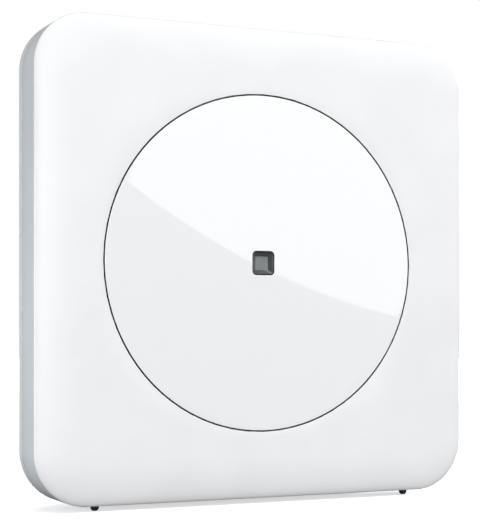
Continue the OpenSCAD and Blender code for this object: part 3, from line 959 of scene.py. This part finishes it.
def main_board():
    """The bare board with its four screw holes, and a gold pad round each hole."""
    half_u = (BOARD_HI.x - BOARD_LO.x) / 2
    half_v = (BOARD_HI.z - BOARD_LO.z) / 2
    depth = BOARD_HI.y - BOARD_LO.y
    corner, ease, beyond = 3 * MM, 0.08 * MM, 1 * MM
    full = small_rect(half_u, half_v, corner)
    eased = small_rect(half_u - ease, half_v - ease, corner - ease)
    levels = [(eased, 0), (full, ease), (full, depth - ease), (eased, depth)]
    board, holes, pads = bmesh.new(), bmesh.new(), bmesh.new()
    add_prism(board, levels, foot_of("main_board", BACK), BACK)
    pad_in, pad_out, pad_t, slant = 1.75 * MM, 3.4 * MM, 0.04 * MM, 0.05 * MM
    pad = [(pad_in, 0), (pad_out, 0), (pad_out - slant, pad_t), (pad_in + slant, pad_t)]
    for n in SCREW_NUMBERS:
        at = middle(f"board_screw_{n}")
        on_board = (at.x, BOARD_LO.y, at.z)
        add_drill(holes, 1.6 * MM, -beyond, depth + beyond, on_board, BACK)
        add_lathe(pads, pad, on_board, FRONT, closed=True)
    piece("circuit_board", carved(board, holes), MAT["mask"], "main_board")
    piece("screw_pads", pads, MAT["gold"])


def free_places(count):
    """Places on the board's front for small parts, clear of everything that stands on it."""
    edge, clear, pitch, apart = 4 * MM, 2.5 * MM, 2.5 * MM, 3 * MM
    blocked = []
    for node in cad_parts:
        lo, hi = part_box(node)
        if lo.y < BOARD_LO.y < hi.y + 1 * MM and hi.x - lo.x < HALF_W:
            blocked.append((lo, hi))
    draw = random.Random(7)
    places = []
    while len(places) < count:
        x = draw.uniform(BOARD_LO.x + edge, BOARD_HI.x - edge)
        z = draw.uniform(BOARD_LO.z + edge, BOARD_HI.z - edge)
        x, z = round(x / pitch) * pitch, round(z / pitch) * pitch
        inside = any(lo.x - clear < x < hi.x + clear and lo.z - clear < z < hi.z + clear
                     for lo, hi in blocked)
        near = any(abs(a - x) < apart and abs(b - z) < apart for a, b, _ in places)
        if not inside and not near:
            places.append((x, z, draw.random() < 0.5))
    return places


def small_parts():
    """Chip resistors, chip capacitors and their soldered ends."""
    count = 110
    half_l, half_w, end_l = 0.9 * MM, 0.55 * MM, 0.3 * MM
    end_w = half_w + 0.05 * MM
    shift = half_l + end_l / 2 - 0.1 * MM
    resistors, capacitors, ends = bmesh.new(), bmesh.new(), bmesh.new()

    def add_chip(bm, x, z, half, height, ease):
        lo = (x - half[0], BOARD_LO.y - height, z - half[1])
        add_block(bm, lo, (x + half[0], BOARD_LO.y, z + half[1]), ease, 1)

    for i, (x, z, upright) in enumerate(free_places(count)):
        body, height = (resistors, 0.45 * MM) if i % 3 else (capacitors, 0.8 * MM)
        add_chip(body, x, z, (half_w, half_l) if upright else (half_l, half_w), height, 0.06 * MM)
        end_half = (end_w, end_l / 2) if upright else (end_l / 2, end_w)
        for move in (-shift, shift):
            end_x, end_z = (x, z + move) if upright else (x + move, z)
            add_chip(ends, end_x, end_z, end_half, height * 0.9, 0.05 * MM)
    piece("chip_resistors", resistors, MAT["chip"])
    piece("chip_capacitors", capacitors, MAT["tan"])
    piece("soldered_ends", ends, MAT["shield"])


def processor():
    """A green carrier with a black moulded cap."""
    lo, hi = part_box("processor")
    carrier_y = hi.y - 0.5 * MM
    inset = 1.4 * MM
    carrier, cap = bmesh.new(), bmesh.new()
    add_block(carrier, (lo.x, carrier_y, lo.z), hi, 0.05 * MM, 1)
    add_block(cap, (lo.x + inset, lo.y, lo.z + inset), (hi.x - inset, carrier_y, hi.z - inset), 0.12 * MM)
    piece("processor_carrier", carrier, MAT["mask"], "processor")
    piece("processor_cap", cap, MAT["chip"])


def flash_chip():
    """A thin package with a row of bent leads along both short sides."""
    lo, hi, at = place("flash_chip")
    count, half, sheet, margin = 24, 0.11 * MM, 0.15 * MM, 0.5 * MM
    reach, knee_reach = 0.8 * MM, 0.35 * MM
    body, leads = bmesh.new(), bmesh.new()
    add_block(body, (lo.x, lo.y, lo.z + reach), (hi.x, hi.y - 0.1 * MM, hi.z - reach), 0.12 * MM)
    for i in range(count):
        x = lo.x + margin + (hi.x - lo.x - 2 * margin) * i / (count - 1)
        for base, out in ((lo.z + reach, -1), (hi.z - reach, 1)):
            knee, toe = base + out * knee_reach, base + out * reach
            runs = [(at.y - half, at.y + half, base, knee)]
            runs.append((at.y - half, hi.y, knee - out * sheet, knee))
            runs.append((hi.y - sheet, hi.y, knee - out * 0.1 * MM, toe))
            for y0, y1, z0, z1 in runs:
                add_block(leads, (x - half, y0, min(z0, z1)), (x + half, y1, max(z0, z1)))
    piece("flash_body", body, MAT["chip"], "flash_chip")
    piece("flash_leads", leads, MAT["shield"])


def shield_can(name, node):
    """A tin lid over a low fence, with a grid of small holes in the lid."""
    lo, hi, at = place(node)
    half_u, half_v = (hi.x - lo.x) / 2, (hi.z - lo.z) / 2
    height = hi.y - lo.y
    corner, bend, pitch = 0.8 * MM, 0.3 * MM, 2 * MM
    levels = []
    for inset, rise in ((0.2, 0), (0.2, 0.7), (0, 0.8), (0, 2.7)):
        levels.append((small_rect(half_u - inset * MM, half_v - inset * MM, corner), rise * MM))
    for inward, rise in arc_profile(0, 0, bend, 0, 90, 4):
        inset = bend - inward
        outline = small_rect(half_u - inset, half_v - inset, corner - inset)
        levels.append((outline, height - bend + rise))
    lid, holes = bmesh.new(), bmesh.new()
    add_prism(lid, levels, (at.x, hi.y, at.z), FRONT)
    across, up = int(half_u / pitch) - 2, int(half_v / pitch) - 2
    for i in range(-across, across + 1):
        for j in range(-up, up + 1):
            hole_at = (at.x + i * pitch, lo.y, at.z + j * pitch)
            add_drill(holes, 0.6 * MM, -0.4 * MM, 0.2 * MM, hole_at, FRONT, steps=12)
    piece(name, carved(lid, holes), MAT["shield"], node)


def film_antenna():
    """A thin stiff film with rounded corners."""
    lo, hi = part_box("film_antenna")
    half_u, half_v, depth = (hi.y - lo.y) / 2, (hi.z - lo.z) / 2, hi.x - lo.x
    corner, ease = 1.5 * MM, 0.05 * MM
    full = small_rect(half_u, half_v, corner)
    eased = small_rect(half_u - ease, half_v - ease, corner - ease)
    levels = [(full, 0), (full, depth * 0.7), (eased, depth)]
    stepped("film_antenna_sheet", "film_antenna", levels, RIGHT, MAT["film"])


def antenna_socket():
    """A grooved ring round a centre pin, its profile in millimetres."""
    profile = [(0, 0), (1.4, 0), (1.4, 0.5), (1.2, 0.6), (1.2, 0.8), (1.35, 0.9), (1.35, 1.1), (1.2, 1.2)]
    profile += [(0.95, 1.2), (0.95, 0.5), (0.35, 0.5), (0.35, 1.15), (0, 1.2)]
    profile = [(r * MM, h * MM) for r, h in profile]
    turned("antenna_socket_ring", "antenna_socket", profile, FRONT, MAT["gold"])


def dc_jack():
    """A moulded block with a round nose, bored for the plug."""
    lo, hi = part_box("dc_jack")
    pin = middle("dc_jack_pin")
    bore, nose, bore_depth = 2.75 * MM, 4 * MM, 9 * MM
    block_x = lo.x + 13.4 * MM
    nose_x = block_x - 0.2 * MM
    block, tool = bmesh.new(), bmesh.new()
    add_block(block, lo, (block_x, hi.y, hi.z), 0.5 * MM, 3)
    add_drill(tool, bore, 0, bore_depth, (hi.x - bore_depth, pin.y, pin.z), RIGHT)
    bm = carved(block, tool)
    add_tube(bm, (nose_x, pin.y, pin.z), RIGHT, nose, bore, hi.x - nose_x)
    piece("power_inlet", bm, MAT["black"], "dc_jack")


def dc_jack_pin():
    """The inlet's centre pin, rounded at its end."""
    lo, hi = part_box("dc_jack_pin")
    r, tip_r = 1 * MM, 0.7 * MM
    shoulder = hi.x - lo.x - tip_r
    profile = [(0, 0), (r, 0), (r, shoulder)]
    profile += arc_profile(r - tip_r, shoulder, tip_r, 0, 90, 6) + [(0, shoulder + tip_r)]
    turned("power_inlet_pin", "dc_jack_pin", profile, RIGHT, MAT["contact"], steps=32)


def usb_socket():
    """A folded sleeve with rounded corners, two spring tongues cut in each broad side."""
    lo, hi, at = place("usb_socket")
    half_u, half_v, length = (hi.y - lo.y) / 2, (hi.z - lo.z) / 2, hi.x - lo.x
    sheet = 0.5 * MM
    outer = small_rect(half_u, half_v, 0.8 * MM)
    inner = small_rect(half_u - sheet, half_v - sheet, 0.4 * MM)
    mouth = small_rect(half_u - 0.3 * sheet, half_v - 0.3 * sheet, 0.7 * MM)
    levels = [(outer, 0), (outer, length), (mouth, length), (inner, length - 0.4 * MM), (inner, sheet)]
    sleeve, slots = bmesh.new(), bmesh.new()
    add_prism(sleeve, levels, foot_of("usb_socket", RIGHT), RIGHT)
    tongue_z, tongue_half, cut_half = 3.2 * MM, 1.1 * MM, 0.2 * MM
    for tongue in (at.z - tongue_z, at.z + tongue_z):
        for z in (tongue - tongue_half, tongue + tongue_half):
            for y in (lo.y, hi.y):
                add_block(slots, (hi.x - 8 * MM, y - 1 * MM, z - cut_half),
                          (hi.x - 2.5 * MM, y + 1 * MM, z + cut_half))
    piece("usb_sleeve", carved(sleeve, slots), MAT["contact"], "usb_socket")


def usb_tongue():
    """The white tongue and its four gold contacts."""
    lo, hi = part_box("usb_tongue")
    first, pitch, half = 1.75 * MM, 2.5 * MM, 0.5 * MM
    tongue, contacts = bmesh.new(), bmesh.new()
    add_block(tongue, lo, hi, 0.25 * MM)
    for i in range(4):
        z = lo.z + first + pitch * i
        add_block(contacts, (lo.x + 2 * MM, lo.y - 0.08 * MM, z - half),
                  (hi.x - 0.5 * MM, lo.y + 0.1 * MM, z + half), 0.05 * MM, 1)
    piece("usb_tongue_block", tongue, MAT["tongue"], "usb_tongue")
    piece("usb_contacts", contacts, MAT["gold"])


def power_coil():
    """A ferrite block with a shallow round dish in its back."""
    lo, hi, at = place("power_coil")
    above, depth = 0.2 * MM, 0.6 * MM
    core, dish = bmesh.new(), bmesh.new()
    add_block(core, lo, hi, 1 * MM, 3)
    profile = [(0, above), (4.6 * MM, above), (4 * MM, -depth), (0, -depth)]
    add_lathe(dish, profile, (at.x, hi.y, at.z), BACK)
    piece("power_coil_core", carved(core, dish), MAT["ferrite"], "power_coil")


def capacitor(n):
    """A can with a crimped foot and a scored top."""
    node = f"capacitor_{n}"
    lo, hi, at = place(node)
    r = (hi.x - lo.x) / 2
    height = hi.y - lo.y
    ease, rim, top_sink = 0.3 * MM, 0.6 * MM, 0.1 * MM
    profile = [(0, 0), (r - ease, 0), (r, ease), (r, 1.2 * MM), (r - ease, 1.6 * MM)]
    profile += [(r - ease, 1.8 * MM), (r, 2.2 * MM), (r, height - rim)]
    profile += arc_profile(r - rim, height - rim, rim, 15, 90, 5)
    profile += [(r - rim - ease, height - top_sink), (0, height - top_sink)]
    score_l, score_w = 2.6 * MM, 0.15 * MM
    can, score = bmesh.new(), bmesh.new()
    add_lathe(can, profile, (at.x, lo.y, at.z), BACK)
    add_block(score, (at.x - score_l, hi.y - 0.3 * MM, at.z - score_w),
              (at.x + score_l, hi.y + 0.2 * MM, at.z + score_w))
    piece(f"capacitor_can_{n}", carved(can, score), MAT["capacitor"], node)


def crystal():
    """A low can on a wider flange, from (inset, height) steps in millimetres."""
    lo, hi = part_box("crystal")
    half_u, half_v = (hi.x - lo.x) / 2, (hi.z - lo.z) / 2
    levels = []
    for inset, rise in ((0, 0), (0, 0.25), (0.25, 0.32), (0.25, 1.05), (0.4, 1.2)):
        levels.append((small_rect(half_u - inset * MM, half_v - inset * MM, 0.6 * MM), rise * MM))
    stepped("crystal_can", "crystal", levels, FRONT, MAT["shield"])


def reset_switch():
    """The switch body, bored for the plunger, the bore's mouth flared."""
    lo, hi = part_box("reset_switch")
    at = middle("reset_plunger")
    bore, mouth, depth, flare = 1.28 * MM, 1.7 * MM, 3.5 * MM, 0.2 * MM
    body, tool = bmesh.new(), bmesh.new()
    add_block(body, lo, hi, 0.3 * MM, 3)
    profile = [(0, -depth), (bore, -depth), (bore, -flare), (mouth, flare), (0, flare)]
    add_lathe(tool, profile, (hi.x, at.y, at.z), RIGHT)
    piece("reset_switch_body", carved(body, tool), MAT["black"], "reset_switch")


def reset_button():
    """A cap with a rounded end and a retaining flange."""
    lo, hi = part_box("reset_button")
    stem, flange, flange_t = 1.8 * MM, 2.8 * MM, 0.75 * MM
    ease, r = 0.1 * MM, 0.4 * MM
    length = hi.x - lo.x
    profile = [(0, 0), (flange - ease, 0), (flange, ease), (flange, flange_t - ease)]
    profile += [(flange - ease, flange_t), (stem, flange_t), (stem, length - r)]
    profile += arc_profile(stem - r, length - r, r, 15, 90, 5)
    profile += [(0.8 * MM, length), (0, length - 0.15 * MM)]
    turned("reset_button_cap", "reset_button", profile, RIGHT, MAT["button"], "reset")


main_board()
small_parts()
processor()
flash_chip()
block_piece("memory_package", "memory_chip", 0.12 * MM, MAT["chip"])
dress("heat_sink", MAT["anodised"], 0.2 * MM)
for node in ("wifi_shield", "mesh_shield_upper", "mesh_shield_lower"):
    shield_can(f"{node}_can", node)
for node in ("stamped_antenna_left", "stamped_antenna_right"):
    dress(node, MAT["antenna"], 0.12 * MM)
dress("antenna_lead", MAT["lead"])
film_antenna()
antenna_socket()
dc_jack()
dc_jack_pin()
usb_socket()
usb_tongue()
power_coil()
capacitor(1)
capacitor(2)
crystal()
reset_switch()
round_bar("reset_plunger_stem", "reset_plunger", RIGHT, 1.2 * MM, 0.2 * MM, MAT["plunger"],
          body="reset")
reset_button()


# ---------------------------------------------------------------- camera, lights, floor

def make_camera():
    """Level camera to the front left, a little below the hub's middle."""
    yaw = math.radians(-25.21)
    distance = 643.2 * MM
    data = bpy.data.cameras.new("camera")
    data.sensor_width = 36
    data.lens = 100.87
    data.shift_x = -0.0388
    data.shift_y = 0.1220
    cam = bpy.data.objects.new("camera", data)
    cam.location = (distance * math.sin(yaw), CREASE_Y - distance * math.cos(yaw), MID_Z - 28.7 * MM)
    cam.rotation_euler = (math.radians(90), 0, yaw)
    bpy.context.scene.collection.objects.link(cam)
    bpy.context.scene.camera = cam


def soft_box(name, location, target, size, power, shape="RECTANGLE", color=(1, 1, 1)):
    """A flat light that faces its target. Size is in metres and power in watts."""
    data = bpy.data.lights.new(name, "AREA")
    data.shape = shape
    data.size, data.size_y = size
    data.energy = power
    data.color = color
    light = bpy.data.objects.new(name, data)
    light.location = location
    light.rotation_mode = "QUATERNION"
    light.rotation_quaternion = (Vector(target) - Vector(location)).to_track_quat("-Z", "Y")
    bpy.context.scene.collection.objects.link(light)


def make_lights():
    """A round key light, which the disc mirrors as a band, and soft boxes around the hub."""
    hub = (0, -0.02, 0.1)
    cool = (0.92, 0.97, 1)
    soft_box("key", (1.165, -1.5, 1.264), (1.165, 0, 1.264), (2.38, 2.38), 20, "DISK")
    soft_box("front", (-0.45, -3.6, 0.52), hub, (1.8, 0.95), 67)
    soft_box("top_front", (0.0, -2.0, 3.7), hub, (3.2, 2.0), 78)
    soft_box("left_side", (-0.45, 0.0, 0.075), (0, 0, 0.075), (0.2, 0.14), 0.83, color=cool)
    soft_box("right_side", (1.75, -0.33, 0.41), hub, (0.9, 0.9), 4.2)
    soft_box("back", (2.2, 2.1, 1.0), hub, (1.4, 1.2), 115)


def make_world():
    """White to the camera, and a dim fill for the object."""
    world = bpy.data.worlds.new("studio")
    world.use_nodes = True
    tree = world.node_tree
    seen = tree.nodes["Background"]
    seen.inputs["Color"].default_value = (1, 1, 1, 1)
    fill = tree.nodes.new("ShaderNodeBackground")
    fill.inputs["Color"].default_value = (0.94, 0.97, 1, 1)
    fill.inputs["Strength"].default_value = 0.045
    path = tree.nodes.new("ShaderNodeLightPath")
    choose = tree.nodes.new("ShaderNodeMixShader")
    tree.links.new(path.outputs["Is Camera Ray"], choose.inputs["Fac"])
    tree.links.new(fill.outputs["Background"], choose.inputs[1])
    tree.links.new(seen.outputs["Background"], choose.inputs[2])
    tree.links.new(choose.outputs["Shader"], tree.nodes["World Output"].inputs["Surface"])
    bpy.context.scene.world = world


def make_floor():
    """A pale floor whose glow grows with distance, so that it meets the background without a line."""
    near, far, near_glow, far_glow = 0.3, 1.5, 0.58, 1.0
    bm = bmesh.new()
    bmesh.ops.create_grid(bm, x_segments=1, y_segments=1, size=20)
    floor = as_object(bm, "floor")
    mat, tree, shader = new_material("floor_white", (0.9, 0.9, 0.9), 0.7)
    shader.inputs["Emission Color"].default_value = (1, 1, 1, 1)
    away = tree.nodes.new("ShaderNodeVectorMath")
    away.operation = "LENGTH"
    tree.links.new(coordinates(tree), away.inputs[0])
    glow = span(tree, away.outputs["Value"], near_glow, far_glow, near, far)
    tree.links.new(glow, shader.inputs["Emission Strength"])
    floor.data.materials.append(mat)
    floor.visible_diffuse = False
    floor.visible_glossy = False


make_camera()
make_lights()
make_world()
make_floor()
bpy.context.scene.view_settings.view_transform = "Standard"
